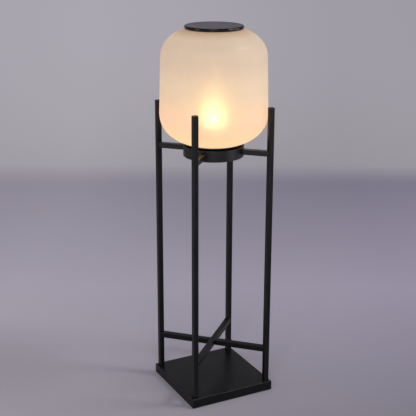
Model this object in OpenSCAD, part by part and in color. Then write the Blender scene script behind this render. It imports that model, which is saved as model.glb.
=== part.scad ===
// Lantern floor lamp: a frosted barrel lantern with a solar lid, carried in a
// shallow cup between four square posts on a square base.
// Millimetres, +Z up, origin on the floor under the middle of the base.
// The corners are named as the lamp is seen: front (-X -Y), right (+X -Y),
// back (+X +Y) and left (-X +Y).

/* [Base] */
// Height of the base's top face above the floor
base_top = 28; // [26:0.5:45]
// Sheet thickness of the base pan
pan_sheet = 2; // [1.2:0.1:3]
// Bevel along the pan's upper edges
pan_bevel = 1.2; // [0.5:0.1:2]
// Sheet thickness of the cover under the pan
cover_sheet = 1.5; // [1:0.1:2.5]
// Clearance between the pan's walls and the cover and slab
pan_clear = 0.8; // [0.3:0.1:2]
// Diameter of the hole in the middle of the pan's -Y side
side_hole_d = 4.5; // [3:0.5:8]
// Depth of the bore in the slab behind that hole
side_bore_len = 24; // [10:1:40]
// Diameter of a rubber foot
foot_d = 24; // [16:1:40]
// How far a foot stands out below the cover
foot_drop = 2; // [1:0.5:6]
// Distance of a foot's centre from the base's sides
foot_inset = 26; // [22:1:50]
// Distance of a cover screw from the base's sides
cover_screw_inset = 48; // [44:1:80]
// Thread diameter of a cover screw
cover_screw_d = 4; // [3:0.5:5]
// Length of a cover screw under its head
cover_screw_len = 12; // [8:1:18]

/* [Posts] */
// Side of a square post
post_side = 14; // [11:0.5:16]
// Wall of a post's tube
post_wall = 1.5; // [1:0.1:2]
// Distance of a post's centre line from the base's sides
post_inset = 13; // [10:0.5:20]
// Gap between the posts' inner edges and the widest part of the glass
post_gap = 2.75; // [2:0.05:12]
// Length of a post's tube
post_len = 792; // [720:1:900]
// Bevel along the edges of the posts, arms and braces
tube_bevel = 0.8; // [0.3:0.1:1.2]
// Thickness of a post cap's plate
cap_plate = 2; // [1:0.5:4]
// Depth of a post cap's stub inside the tube
cap_stub = 8; // [4:1:20]
// Length of the threaded plug in a post's foot
plug_len = 16; // [10:1:30]
// Thread diameter of a post screw
post_screw_d = 6; // [4:0.5:6.5]
// Length of a post screw under its head
post_screw_len = 16; // [10:1:17]
// Height of a post screw's head
post_screw_head = 3.5; // [2:0.5:5]

/* [Cross brace and arms] */
// Side of a square brace bar
brace_side = 15.5; // [11:0.5:16]
// Height of the braces' centre line above the floor
brace_height = 127; // [60:1:400]
// Side of a square arm
arm_side = 14.5; // [10:0.5:16]
// Height of the arms' centre line above the floor
arm_height = 697.5; // [500:0.5:800]
// Wall of the brace and arm tubes
bar_wall = 1.5; // [1:0.1:2]
// Gap left for the weld where a bar meets its neighbour
weld_gap = 0.05; // [0.02:0.01:0.1]

/* [Lantern cup] */
// Outer diameter of the cup
cup_d = 165; // [146:1:190]
// How far the cup's underside lies below the arms' centre line
cup_drop = 16.5; // [12:0.5:19]
// Height of the cup
cup_h = 30; // [26:1:33]
// Sheet thickness of the cup
cup_sheet = 2; // [1:0.1:3]
// Diameter of the hole in the cup's floor
cup_hole_d = 72; // [30:1:84]

/* [Lantern foot] */
// Gap between the foot and the cup's wall
foot_clear = 1.5; // [0.8:0.1:3]
// Gap at rest between pieces that lift apart
seat_gap = 0.2; // [0.1:0.05:0.4]
// Thickness of the rubber ring under the foot
pad_t = 1.8; // [1:0.2:3]
// Inner diameter of the rubber ring
pad_inner_d = 98; // [94:1:110]
// Outer diameter of the rubber ring
pad_outer_d = 122; // [116:1:126]
// Wall of the foot's tray and the tray's floor
tray_wall = 2; // [1.5:0.1:2.5]
// Room above the cells, under the foot's lid
cell_room = 1.8; // [0.6:0.1:6]
// Thickness of the foot's lid
lid_t = 2.5; // [2:0.1:4]
// Depth of the lid's lip inside the tray
lid_lip = 2; // [1:0.5:2.5]
// Outer radius of the lid's spigot
spigot_r = 42.6; // [38:0.2:48]
// Wall of the spigot
spigot_wall = 2.4; // [1.6:0.2:3]
// Height of the spigot above the lid
spigot_h = 12.5; // [8:0.5:14]
// Distance of a foot screw from the tray's outer face
foot_screw_inset = 11.5; // [9:0.5:12]
// Thread diameter of a foot screw
foot_screw_d = 3; // [2.5:0.1:3.5]
// Clearance round a screw in its hole
screw_clear = 0.15; // [0.1:0.05:0.3]

/* [Cells, board and switch] */
// Diameter of a cell
cell_d = 14.2; // [10:0.1:16]
// Length of a cell
cell_len = 50; // [44:0.5:56]
// Number of cells side by side
cell_count = 3; // [2:1:3]
// Floor and end walls of the battery holder
holder_wall = 1; // [0.8:0.1:1.2]
// Width of the control board, along X
board_w = 60; // [52:1:70]
// Depth of the control board, along Y
board_d = 50; // [44:1:56]
// How far the board reaches past the middle towards -Y
board_front = 8; // [7.5:0.5:9]
// Thickness of the board
board_t = 1.6; // [1:0.1:2]
// Gap left under the switch when the button is pressed
press_gap = 0.15; // [0.1:0.05:0.4]
// Diameter of the power button
button_d = 14; // [10:0.5:15]
// How far the button stands out below the tray
button_out = 1.1; // [0.6:0.1:1.4]
// How far the button travels when pressed
button_travel = 1.6; // [1:0.1:2]
// Gap round the button and its stem
button_clear = 0.3; // [0.2:0.05:0.5]
// Height of the switch under the board
switch_h = 6; // [5:0.1:6.6]
// Diameter of an inner lead
inner_lead_d = 1.8; // [1.2:0.1:2]

/* [Lamp holder and bulb] */
// Outer diameter of the lamp holder
holder_d = 28; // [26:0.5:30]
// Height of the lamp holder
holder_h = 40; // [36:1:50]
// How far the lamp holder's flange stands out
holder_flange_w = 8; // [7:0.5:9]
// Thickness of that flange
holder_flange = 3; // [2:0.5:4]
// How far the bulb's body stays above the lamp holder
bulb_stand = 0.8; // [0.4:0.1:3]
// Diameter of the bulb's screw cap
bulb_cap_d = 13.8; // [12:0.1:14]
// Gap round the bulb's cap in the well
bulb_clear = 0.35; // [0.2:0.05:0.6]
// Length of the bulb's cap
bulb_cap_len = 25; // [22:0.5:26]
// Length of the bulb's plastic body
bulb_body_len = 25; // [20:1:36]
// Diameter of the bulb's globe
globe_d = 39; // [35:0.5:45]
// Wall of the bulb's globe
globe_wall = 1.2; // [0.8:0.1:2]

/* [Glass shade] */
// Outer diameter at the lower end of the glass wall
glass_d_low = 291.5; // [250:0.5:340]
// Outer diameter at the upper end of the glass wall
glass_d_high = 283; // [240:0.5:300]
// Height of the lower shoulder, from its lowest point to the wall
glass_low_h = 93; // [80:1:110]
// Height of the wall between the shoulders
glass_wall_h = 144; // [110:1:170]
// Height of the upper shoulder if it closed at the top
glass_high_h = 87.5; // [76:0.5:100]
// Roundness of the shoulders, where 2 is an ellipse and more is squarer
glass_round = 2.26; // [2.1:0.02:2.6]
// Thickness of the glass
glass_t = 3; // [2:0.1:4]
// Thickness of the collar's flange under the glass
collar_flange = 2.6; // [2:0.1:4]
// Wall of the collar's sleeve through the lower mouth
sleeve_wall = 1.8; // [1.2:0.1:3]
// Gap between the sleeve and the glass's lower mouth
mouth_clear = 0.4; // [0.2:0.05:1]
// How far the collar's flange and nut reach past the mouth
collar_grip = 11.8; // [8:0.2:16]
// Gap between the spigot and the collar round it
collar_clear = 0.4; // [0.3:0.05:0.6]
// Thickness of the gaskets at the lower mouth
gasket_t = 1; // [0.6:0.1:1.6]
// Height of the collar's nut
nut_h = 4; // [3:0.5:5]

/* [Lid and panel] */
// Diameter of the lid
lid_d = 157; // [140:1:176]
// Thickness of the lid
lid_h = 8; // [7.5:0.5:11]
// Roundness of the lid's rim
rim_round = 3; // [1.5:0.5:3.5]
// How far the lid reaches past the glass's rim
lid_reach = 1.2; // [0.5:0.1:3]
// Thickness of the seal between the lid and the glass
seal_t = 1; // [0.6:0.1:2]
// Depth of the ring under the lid that centres it in the glass
centre_ring_h = 6; // [3:0.5:8]
// Wall of that ring
centre_ring_wall = 3; // [2:0.5:4]
// Width of the lid's edge round the panel
panel_edge = 5; // [4.2:0.2:8]
// Thickness of the panel's clear window
window_t = 1.6; // [1:0.1:2]
// Thickness of the cells' layer
solar_t = 0.4; // [0.2:0.1:0.6]
// Thickness of the panel's backing board
backing_t = 1.4; // [1:0.1:1.6]
// Width of one strip of cells and its gap
strip_pitch = 53.2; // [45:0.2:60]
// Gap between two strips of cells
strip_gap = 1.2; // [0.6:0.2:3]
// Distance of the first gap from the panel's centre
strip_offset = 16.8; // [10:0.2:25]
// Direction of the strips, counted from +X
strip_turn = 49; // [0:1:90]
// Side of the square junction box under the lid
box_side = 34; // [24:1:40]
// Height of the junction box
box_h = 16; // [14:0.5:20]
// Diameter of the panel's lead
lead_d = 3; // [2:0.2:4]
// Direction of the lead down the glass, counted from +X
lead_turn = 62; // [50:1:75]

/* [Hidden] */
$fn = 96;
tiny = 0.01;
// How far a cutter reaches past the face that it cuts
cut = 1;

// Colours of the finishes
coat = "#2a2b2e";
steel = "#b9bcc0";
dark_plastic = "#1d1e20";

// Directions of the front, right, back and left corners, seen from the middle
CORNERS = [225, 315, 45, 135];
FRONT = CORNERS[0];
RIGHT = CORNERS[1];
BACK = CORNERS[2];
LEFT = CORNERS[3];

// Posts, which stand round the widest part of the glass
glass_r_low = glass_d_low / 2;
glass_r_high = glass_d_high / 2;
post_radius = glass_r_low + post_gap + post_side / sqrt(2);
post_at = post_radius / sqrt(2);
base_side = 2 * (post_at + post_inset);

// Base
pan_bottom = foot_drop;
pan_roof = base_top - pan_sheet;
pan_inner = base_side - 2 * pan_sheet;
cover_top = foot_drop + cover_sheet;
slab_side = pan_inner - 2 * pan_clear;
slab_top = pan_roof - tiny;
side_hole_z = (pan_bottom + base_top) / 2;
cover_head_r = cover_screw_d;
cover_head_h = cover_head_r - cover_screw_d / 2;

// Inside and ends of a post
post_bore = post_side - 2 * post_wall;
post_tube_top = base_top + post_len;
post_fit = 0.1;
post_head_r = post_screw_d * 0.85;
corner_notch = post_inset + post_head_r + 3 - pan_sheet - pan_clear;

// Driver slots across the small screws' heads
slot_w = 0.7;
slot_depth = 0.7;

// Cup and lantern foot
cup_r = cup_d / 2;
cup_bottom = arm_height - cup_drop;
cup_floor = cup_bottom + cup_sheet;
cup_bevel = 1.5;
pad_z = cup_floor + seat_gap;
tray_z = pad_z + pad_t;
tray_r = cup_r - cup_sheet - foot_clear;
tray_h = tray_wall + holder_wall + cell_d + cell_room;
tray_floor = tray_z + tray_wall;
lid_z = tray_z + tray_h;
lid_top = lid_z + lid_t;
lip_r = tray_r - tray_wall - 0.2;
lip_wall = 1.6;
foot_boss_r = 4;
foot_head_r = foot_screw_d;
foot_head_h = 1.6;
foot_screw_ring = tray_r - foot_screw_inset;
foot_bore_top = lid_z - 3;
foot_screw_top = foot_bore_top - 1.5;

// Cells, board and switch
cell_pitch = cell_d + 0.6;
cells_y = -(board_front + 5 + cell_pitch * cell_count / 2);
holder_x = cell_len + 2 * holder_wall + 1;
holder_y = cell_pitch * cell_count;
cell_z = tray_floor + holder_wall + cell_d / 2;
button_flange = 1.2;
button_flange_r = button_d / 2 + 2;
button_flange_z = tray_floor + 0.05;
board_z = button_flange_z + button_flange + button_travel + press_gap + switch_h;
board_top = board_z + board_t;
board_mid_y = board_d / 2 - board_front;
board_boss_r = 3;
board_screw_r = 1.25;
board_screw_end = board_z - 4;
board_bore_z = board_screw_end - 2;
board_head_r = 2.3;
board_head_h = 1.5;
terminal_x = board_w / 2 - 11;
board_hole_x = board_w / 2 - 4;
board_hole_y = board_d / 2 - 4;
switch_side = 12;
switch_z = board_z - switch_h;
stem_r = 2;
stem_rise = 0.8;
stem_top = switch_z + stem_rise;
lead_hole_r = 7;
lead_slot_w = 6;
lead_slot_l = 10;

// Lamp holder and bulb
well_r = bulb_cap_d / 2 + bulb_clear;
holder_r = holder_d / 2;
holder_flange_r = holder_r + holder_flange_w;
holder_screw_at = holder_r + holder_flange_w / 2;
holder_screw_r = 1.5;
holder_head_r = 2.6;
holder_head_h = 1.8;
holder_head_z = lid_top + holder_flange;
contact_w = 6;
contact_l = 10;
contact_t = 1.2;
tip_h = 1.4;
well_depth = contact_t + seat_gap + tip_h + bulb_cap_len - bulb_stand;
holder_top = lid_top + holder_h;
well_floor = holder_top - well_depth;
tip_z = well_floor + contact_t + seat_gap;
bulb_cap_z = tip_z + tip_h;
bulb_cap_top = bulb_cap_z + bulb_cap_len;
bulb_body_top = bulb_cap_top + bulb_body_len;
globe_r = globe_d / 2;
neck_r = globe_r * 0.86;
globe_z = bulb_body_top + sqrt(globe_r * globe_r - neck_r * neck_r);
socket_w = 14;
socket_l = 8;
socket_r = spigot_r - spigot_wall - socket_l / 2 - 2.2;
pin_pitch = 7;
pin_r = 0.8;

// Glass, worked out from the spigot and the collar upwards
sleeve_inner = spigot_r + collar_clear;
sleeve_outer = sleeve_inner + sleeve_wall;
mouth_r = sleeve_outer + mouth_clear;
collar_r = mouth_r + collar_grip;
flange_z = lid_top + seat_gap;
flange_top = flange_z + collar_flange;
glass_z = flange_top + gasket_t - shoulder(mouth_r, glass_r_low, glass_low_h);
wall_low_z = glass_z + glass_low_h;
wall_high_z = wall_low_z + glass_wall_h;
gasket_outer = collar_r - 2;
nut_z = glass_inside_z(gasket_outer) + gasket_t / 2;
sleeve_top = nut_z + nut_h + 2;

// Lid
lid_r = lid_d / 2;
rim_r = lid_r - lid_reach;
rim_z = wall_high_z + glass_high_h - shoulder(rim_r, glass_r_high, glass_high_h);
rim_inner = glass_r_high_at(rim_z, glass_t);
cap_z = rim_z + seal_t;
cap_top = cap_z + lid_h;
centre_ring_r = rim_inner - 1.5;
window_r = lid_r - panel_edge;
window_top = cap_top - 0.2;
backing_z = window_top - window_t - solar_t - backing_t - 2 * tiny;
solar_r = window_r - 2.5;
strip_least = 3;
lid_hole_r = 4;
box_wall = 2;
lead_r = lead_d / 2;
lead_inset = glass_t + lead_r + 0.4;
lead_z = cap_z - box_h + 4.5;
plug_z = sleeve_top;
plug_h = 6;
socket_top = plug_z - 1.5;
plug_outer = sleeve_outer + 1.5;
plug_inner = socket_r - socket_l / 2 - 1;
plug_w = socket_w - 2;
pin_len = 6;
pin_bore_z = plug_z - pin_len - 1.5;

// How far a shoulder of this radius and height has risen from its pole at radius r
function shoulder(r, across, high) =
    high * (1 - pow(cos(asin(pow(r / across, glass_round / 2))), 2 / glass_round));

// Height of the glass's outer and inner faces near the lower mouth, at radius r
function glass_outside_z(r) = glass_z + shoulder(r, glass_r_low, glass_low_h);
function glass_inside_z(r) =
    glass_z + glass_t + shoulder(r, glass_r_low - glass_t, glass_low_h - glass_t);

// Radius of the upper shoulder at height z, set in from the outer face
function glass_r_high_at(z, inset) =
    (glass_r_high - inset)
    * pow(cos(asin(pow((z - wall_high_z) / (glass_high_h - inset), glass_round / 2))), 2 / glass_round);

// A point of the lower shoulder, where turn runs from 0 at the pole to 90 at the wall
function low_point(turn, inset) = [
    (glass_r_low - inset) * pow(sin(turn), 2 / glass_round),
    wall_low_z - (glass_low_h - inset) * pow(cos(turn), 2 / glass_round)
];

// A point of the upper shoulder, where turn runs from 0 at the wall to 90 at the pole
function high_point(turn, inset) = [
    (glass_r_high - inset) * pow(cos(turn), 2 / glass_round),
    wall_high_z + (glass_high_h - inset) * pow(sin(turn), 2 / glass_round)
];

function low_turn(r, inset) = asin(pow(r / (glass_r_low - inset), glass_round / 2));
function high_turn(z, inset) =
    asin(pow((z - wall_high_z) / (glass_high_h - inset), glass_round / 2));

// The glass's outline at an inset, from radius r_start up to height z_end
function glass_line(inset, r_start, z_end, steps) = concat(
    [for (i = [0 : steps]) let (start = low_turn(r_start, inset))
        low_point(start + (90 - start) * i / steps, inset)],
    [for (i = [0 : steps]) high_point(high_turn(z_end, inset) * i / steps, inset)]
);

function reversed(list) = [for (i = [len(list) - 1 : -1 : 0]) list[i]];

// Outline of a square tube or plate with bevelled edges, centred
module bevel_square(side, bevel) {
    half = side / 2;
    in = half - bevel;
    polygon([[half, -in], [half, in], [in, half], [-in, half],
             [-half, in], [-half, -in], [-in, -half], [in, -half]]);
}

// Ring round the Z axis
module ring(inner, outer, z, height) {
    translate([0, 0, z]) rotate_extrude() translate([inner, 0]) square([outer - inner, height]);
}

module disc(r, z, height) {
    translate([0, 0, z]) cylinder(r = r, h = height);
}

// Cutter for a round hole through a wall that starts at z
module hole(r, z, wall) {
    disc(r, z - cut, wall + 2 * cut);
}

// Cutter for the driver's slot across a screw head, from z upwards
module driver_slot(head_r, z, depth) {
    translate([-head_r, -slot_w / 2, z]) cube([2 * head_r, slot_w, depth]);
}

module at_corners(distance) {
    for (x = [-1, 1], y = [-1, 1]) translate([x * distance, y * distance, 0]) children();
}

module at_turn(turn, radius) {
    rotate([0, 0, turn]) translate([radius, 0, 0]) children();
}

// ---------------------------------------------------------------- base

module pan_block(side, height, bevel) {
    hull() {
        translate([-side / 2, -side / 2, 0]) cube([side, side, height - bevel]);
        translate([-side / 2 + bevel, -side / 2 + bevel, 0])
            cube([side - 2 * bevel, side - 2 * bevel, height]);
    }
}

module base_pan() {
    color(coat) difference() {
        translate([0, 0, pan_bottom]) pan_block(base_side, base_top - pan_bottom, pan_bevel);
        translate([-pan_inner / 2, -pan_inner / 2, pan_bottom - cut])
            cube([pan_inner, pan_inner, pan_roof - pan_bottom + cut]);
        translate([0, -base_side / 2 - cut, side_hole_z])
            rotate([-90, 0, 0]) cylinder(d = side_hole_d, h = pan_sheet + 2 * cut);
        at_corners(post_at) hole(post_screw_d / 2 + screw_clear, pan_roof, pan_sheet);
    }
}

// Cone of a cover screw's head, grown by a clearance
module cover_head(clear) {
    translate([0, 0, pan_bottom - tiny])
        cylinder(r1 = cover_head_r + clear, r2 = cover_screw_d / 2 + clear,
                 h = cover_head_h + tiny);
}

module ballast_slab() {
    half = slab_side / 2;
    notch = half - corner_notch;
    color("#8d8c88") difference() {
        translate([0, 0, cover_top + tiny]) linear_extrude(slab_top - cover_top - tiny)
            polygon([[half, -notch], [half, notch], [notch, notch], [notch, half],
                     [-notch, half], [-notch, notch], [-half, notch], [-half, -notch],
                     [-notch, -notch], [-notch, -half], [notch, -half], [notch, -notch]]);
        translate([0, -half - cut, side_hole_z])
            rotate([-90, 0, 0]) cylinder(d = side_hole_d + 2 * pan_clear, h = side_bore_len + cut);
        at_corners(base_side / 2 - cover_screw_inset) {
            disc(cover_screw_d / 2 + screw_clear, cover_top - cut, cover_screw_len + cut);
            cover_head(screw_clear);
        }
    }
}

module base_cover() {
    color(coat) difference() {
        translate([-slab_side / 2, -slab_side / 2, pan_bottom])
            cube([slab_side, slab_side, cover_sheet]);
        at_corners(base_side / 2 - cover_screw_inset) {
            hole(cover_screw_d / 2 + screw_clear, pan_bottom, cover_sheet);
            cover_head(screw_clear);
        }
    }
}

module cover_screws() {
    color(steel) at_corners(base_side / 2 - cover_screw_inset) {
        difference() {
            union() {
                translate([0, 0, pan_bottom])
                    cylinder(r1 = cover_head_r, r2 = cover_screw_d / 2, h = cover_head_h);
                disc(cover_screw_d / 2, pan_bottom, cover_screw_len);
            }
            driver_slot(cover_head_r, pan_bottom - tiny, slot_depth);
        }
    }
}

module rubber_feet() {
    color("#141414") at_corners(base_side / 2 - foot_inset) disc(foot_d / 2, 0, foot_drop);
}

// ---------------------------------------------------------------- posts

module post(turn) {
    color(coat) rotate([0, 0, turn]) translate([post_radius, 0, base_top]) rotate([0, 0, 45])
        linear_extrude(post_len) difference() {
            bevel_square(post_side, tube_bevel);
            square(post_bore, center = true);
        }
}

module post_front() { post(FRONT); }
module post_right() { post(RIGHT); }
module post_back() { post(BACK); }
module post_left() { post(LEFT); }

module post_caps() {
    stub = post_bore - 2 * post_fit;
    color(coat) at_corners(post_at) {
        translate([0, 0, post_tube_top]) linear_extrude(cap_plate)
            bevel_square(post_side, tube_bevel);
        translate([-stub / 2, -stub / 2, post_tube_top - cap_stub]) cube([stub, stub, cap_stub]);
    }
}

module post_plugs() {
    block = post_bore - 2 * post_fit;
    color(steel) at_corners(post_at) difference() {
        translate([-block / 2, -block / 2, base_top]) cube([block, block, plug_len]);
        hole(post_screw_d / 2 + screw_clear, base_top, plug_len);
    }
}

module post_screws() {
    color(steel) at_corners(post_at) difference() {
        union() {
            disc(post_head_r, pan_roof - post_screw_head, post_screw_head);
            disc(post_screw_d / 2, pan_roof - 1, post_screw_len + 1);
        }
        translate([0, 0, pan_roof - post_screw_head - cut])
            cylinder(d = post_screw_d * 0.6, h = post_screw_head * 0.6 + cut, $fn = 6);
    }
}

// ---------------------------------------------------------------- cross brace and arms

// The space that the post at this corner takes, with its weld gap
module post_space(turn) {
    at_turn(turn, post_radius) rotate([0, 0, 45])
        linear_extrude(post_tube_top) bevel_square(post_side + 2 * weld_gap, tube_bevel);
}

// Square tube along a corner's direction, between two distances from the middle
module corner_bar(turn, from, to, side, height) {
    rotate([0, 0, turn]) translate([from, 0, height]) rotate([90, 0, 90])
        linear_extrude(to - from) difference() {
            bevel_square(side, tube_bevel);
            square(side - 2 * bar_wall, center = true);
        }
}

module brace_long() {
    color(coat) difference() {
        corner_bar(BACK, -post_radius, post_radius, brace_side, brace_height);
        post_space(FRONT);
        post_space(BACK);
    }
}

module brace_half(turn) {
    color(coat) difference() {
        corner_bar(turn, brace_side / 2 + weld_gap, post_radius, brace_side, brace_height);
        post_space(turn);
    }
}

module brace_left() { brace_half(LEFT); }
module brace_right() { brace_half(RIGHT); }

module arm(turn) {
    color(coat) difference() {
        corner_bar(turn, cup_r - arm_side / 2, post_radius, arm_side, arm_height);
        post_space(turn);
        disc(cup_r + weld_gap, arm_height - arm_side, 2 * arm_side);
    }
}

module arm_front() { arm(FRONT); }
module arm_right() { arm(RIGHT); }
module arm_back() { arm(BACK); }
module arm_left() { arm(LEFT); }

module lantern_cup() {
    color(coat) rotate_extrude() polygon([
        [cup_hole_d / 2, cup_bottom], [cup_r - cup_bevel, cup_bottom], [cup_r, cup_bottom + cup_bevel],
        [cup_r, cup_bottom + cup_h], [cup_r - cup_sheet, cup_bottom + cup_h],
        [cup_r - cup_sheet, cup_floor], [cup_hole_d / 2, cup_floor]
    ]);
}

// ---------------------------------------------------------------- lantern foot

module at_foot_screws() {
    for (turn = [45 : 90 : 315]) at_turn(turn, foot_screw_ring) children();
}

module foot_tray() {
    color(dark_plastic) difference() {
        union() {
            difference() {
                disc(tray_r, tray_z, tray_h);
                disc(tray_r - tray_wall, tray_floor, tray_h);
            }
            at_board_holes() disc(board_boss_r, tray_floor - 0.5, board_z - tray_floor + 0.5);
        }
        hole(button_d / 2 + button_clear, tray_z, tray_wall);
        at_foot_screws() {
            hole(foot_screw_d / 2 + screw_clear, tray_z, tray_wall);
            disc(foot_head_r + screw_clear, tray_z - cut, foot_head_h + cut);
        }
        at_board_holes() disc(board_screw_r + screw_clear, board_bore_z, board_z - board_bore_z + cut);
    }
}

module foot_lid() {
    color(dark_plastic) difference() {
        union() {
            disc(tray_r, lid_z, lid_t);
            ring(lip_r - lip_wall, lip_r, lid_z - lid_lip, lid_lip + 0.5);
            ring(spigot_r - spigot_wall, spigot_r, lid_top - 0.5, spigot_h + 0.5);
            at_foot_screws() disc(foot_boss_r, tray_floor + tiny, lid_z - tray_floor + 0.5);
        }
        at_foot_screws() disc(foot_screw_d / 2 + screw_clear, tray_z, foot_bore_top - tray_z);
        hole(lead_hole_r, lid_z, lid_t);
        at_turn(lead_turn, socket_r) translate([-lead_slot_w / 2, -lead_slot_l / 2, lid_z - cut])
            cube([lead_slot_w, lead_slot_l, lid_t + 2 * cut]);
        at_holder_screws() hole(holder_screw_r + screw_clear, lid_z, lid_t);
    }
}

module foot_screws() {
    color(steel) at_foot_screws() difference() {
        union() {
            disc(foot_head_r, tray_z, foot_head_h);
            disc(foot_screw_d / 2, tray_z, foot_screw_top - tray_z);
        }
        driver_slot(foot_head_r, tray_z - cut, slot_depth + cut);
    }
}

module foot_pad() {
    color("#101010") ring(pad_inner_d / 2, pad_outer_d / 2, pad_z, pad_t);
}

module battery_holder() {
    color("#26272a") translate([0, cells_y, tray_floor]) difference() {
        translate([-holder_x / 2, -holder_y / 2, 0]) cube([holder_x, holder_y, cell_d * 0.75]);
        translate([-holder_x / 2 + holder_wall, -holder_y / 2 - 1, holder_wall])
            cube([holder_x - 2 * holder_wall, holder_y + 2, cell_d]);
    }
}

module battery_cells() {
    color("#3f7f5c") for (i = [0 : cell_count - 1])
        translate([-cell_len / 2, cells_y + (i - (cell_count - 1) / 2) * cell_pitch, cell_z])
            rotate([0, 90, 0]) union() {
                cylinder(d = cell_d, h = cell_len - 1);
                translate([0, 0, cell_len - 2]) cylinder(d = 5.5, h = 2);
            }
}

module at_board_holes() {
    for (x = [-1, 1], y = [-1, 1])
        translate([x * board_hole_x, board_mid_y + y * board_hole_y, 0]) children();
}

module control_board() {
    color("#1f6b3a") difference() {
        translate([-board_w / 2, -board_front, board_z]) cube([board_w, board_d, board_t]);
        at_board_holes() hole(board_screw_r + screw_clear, board_z, board_t);
    }
}

module board_parts() {
    left = -board_w / 2;
    back = board_d - board_front;
    // controller, coil, capacitor, terminal and a small chip
    color("#2b2b2b") translate([0, 0, board_top]) {
        translate([left + 16, board_mid_y - 1, 0]) cube([10, 10, 1.6]);
        translate([left + 9, back - 15, 0]) cube([8, 8, 3.6]);
        translate([left + 6, board_mid_y - 9, 0]) cylinder(r = 3.5, h = 3.8);
        translate([terminal_x - 4, -board_front + 1, 0]) cube([8, 7, 3.8]);
        translate([2, back - 10, 0]) cube([6, 4, 1.2]);
    }
}

module board_screws() {
    color(steel) at_board_holes() difference() {
        union() {
            disc(board_head_r, board_top, board_head_h);
            disc(board_screw_r, board_screw_end, board_top - board_screw_end);
        }
        driver_slot(board_head_r, board_top + board_head_h - slot_depth, slot_depth + cut);
    }
}

module switch_body() {
    color("#303236") difference() {
        translate([-switch_side / 2, -switch_side / 2, switch_z])
            cube([switch_side, switch_side, switch_h]);
        disc(stem_r + button_clear, switch_z - cut, cut + stem_rise + button_travel + 1);
    }
}

module power_button() {
    color("#c9482e") {
        disc(button_d / 2, tray_z - button_out, button_flange_z - tray_z + button_out + 0.2);
        disc(button_flange_r, button_flange_z, button_flange);
        disc(stem_r, button_flange_z + 0.2, stem_top - button_flange_z - 0.2);
    }
}

// Round tube of radius r along a path in the X-Z plane, with eight sides
module flat_tube(path, r) {
    count = len(path);
    function heading(i) = let (a = path[max(i - 1, 0)], b = path[min(i + 1, count - 1)])
        (b - a) / norm(b - a);
    rings = [for (i = [0 : count - 1], k = [0 : 7])
        let (h = heading(i), c = r * cos(45 * k + 22.5), s = r * sin(45 * k + 22.5))
        [path[i][0] - h[1] * c, s, path[i][1] + h[0] * c]];
    sides = [for (i = [0 : count - 2], k = [0 : 7])
        let (a = 8 * i + k, b = 8 * i + (k + 1) % 8)
        each [[a, b + 8, a + 8], [a, b, b + 8]]];
    ends = [[for (k = [7 : -1 : 0]) k], [for (k = [0 : 7]) 8 * (count - 1) + k]];
    polyhedron(rings, concat(sides, ends));
}

module inner_leads() {
    r = inner_lead_d / 2;
    holder_edge = cells_y + holder_y / 2;
    board_edge = -board_front;
    low = cell_z - 3;
    high = board_top + 2;
    // from the cells round the board's edge to its terminal
    color("#b03028") translate([terminal_x, 0, 0]) rotate([0, 0, 90]) flat_tube([
        [holder_edge + 0.1, low], [board_edge - 3.2, low], [board_edge - 2.2, low + 0.8],
        [board_edge - 1.8, low + 2.2], [board_edge - 1.8, high - 2.4],
        [board_edge - 1.4, high - 0.9], [board_edge - 0.4, high], [board_edge + 0.9, high]
    ], r);
    // from the board up into the lamp holder
    color("#b03028") for (x = [-1, 1]) translate([x * 3.5, 0, 0])
        disc(r, board_top, well_floor - 2 - board_top);
    // from the board up to the contact socket
    color("#b03028") at_turn(lead_turn, socket_r) for (y = [-1, 1]) translate([0, y * 3, 0])
        disc(r, board_top, lid_top - board_top);
}

module at_holder_screws() {
    for (side = [-1, 1]) translate([side * holder_screw_at, 0, 0]) children();
}

module lamp_holder() {
    color("#e8e6e0") difference() {
        union() {
            disc(holder_flange_r, lid_top, holder_flange);
            disc(holder_r, lid_top, holder_h);
        }
        disc(holder_r - 3, lid_top - cut, well_floor - 2 - lid_top + cut);
        disc(well_r, well_floor, well_depth + cut);
        at_holder_screws() hole(holder_screw_r + screw_clear, lid_top, holder_flange);
    }
}

module holder_contact() {
    color("#c9a24b") translate([-contact_w / 2, -contact_l / 2, well_floor])
        cube([contact_w, contact_l, contact_t]);
}

module holder_screws() {
    color(steel) at_holder_screws() difference() {
        union() {
            disc(holder_head_r, holder_head_z, holder_head_h);
            disc(holder_screw_r, lid_z + 0.2, lid_t + holder_flange);
        }
        driver_slot(holder_head_r, holder_head_z + holder_head_h - slot_depth, slot_depth + cut);
    }
}

module contact_socket() {
    color(dark_plastic) at_turn(lead_turn, socket_r) difference() {
        translate([-socket_l / 2, -socket_w / 2, lid_top])
            cube([socket_l, socket_w, socket_top - lid_top]);
        for (y = [-1, 1]) translate([0, y * pin_pitch / 2, 0])
            disc(pin_r + 0.3, pin_bore_z, socket_top - pin_bore_z + cut);
    }
}

// ---------------------------------------------------------------- bulb

module bulb_cap() {
    color("#c8c4b8") {
        translate([0, 0, bulb_cap_z]) rotate_extrude() union() {
            square([bulb_cap_d / 2 - 0.7, bulb_cap_len]);
            for (i = [0 : 5]) translate([bulb_cap_d / 2 - 0.7, 4 + i * 2.8]) circle(r = 0.7, $fn = 24);
        }
        disc(2.6, tip_z, tip_h);
    }
}

module bulb_body() {
    color("#f1efe9") translate([0, 0, bulb_cap_top]) difference() {
        cylinder(r1 = bulb_cap_d / 2 + 1.2, r2 = neck_r, h = bulb_body_len);
        translate([0, 0, 3])
            cylinder(r1 = bulb_cap_d / 2 - 0.5, r2 = neck_r - 2, h = bulb_body_len - 5);
    }
}

module led_board() {
    color("#f4f2ea") translate([0, 0, bulb_body_top]) {
        cylinder(r = neck_r - globe_wall - 1.5, h = 1.4);
        for (turn = [0 : 60 : 300]) at_turn(turn, 8) translate([-1.4, -1.4, 1]) cube([2.8, 2.8, 1.2]);
    }
}

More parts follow.
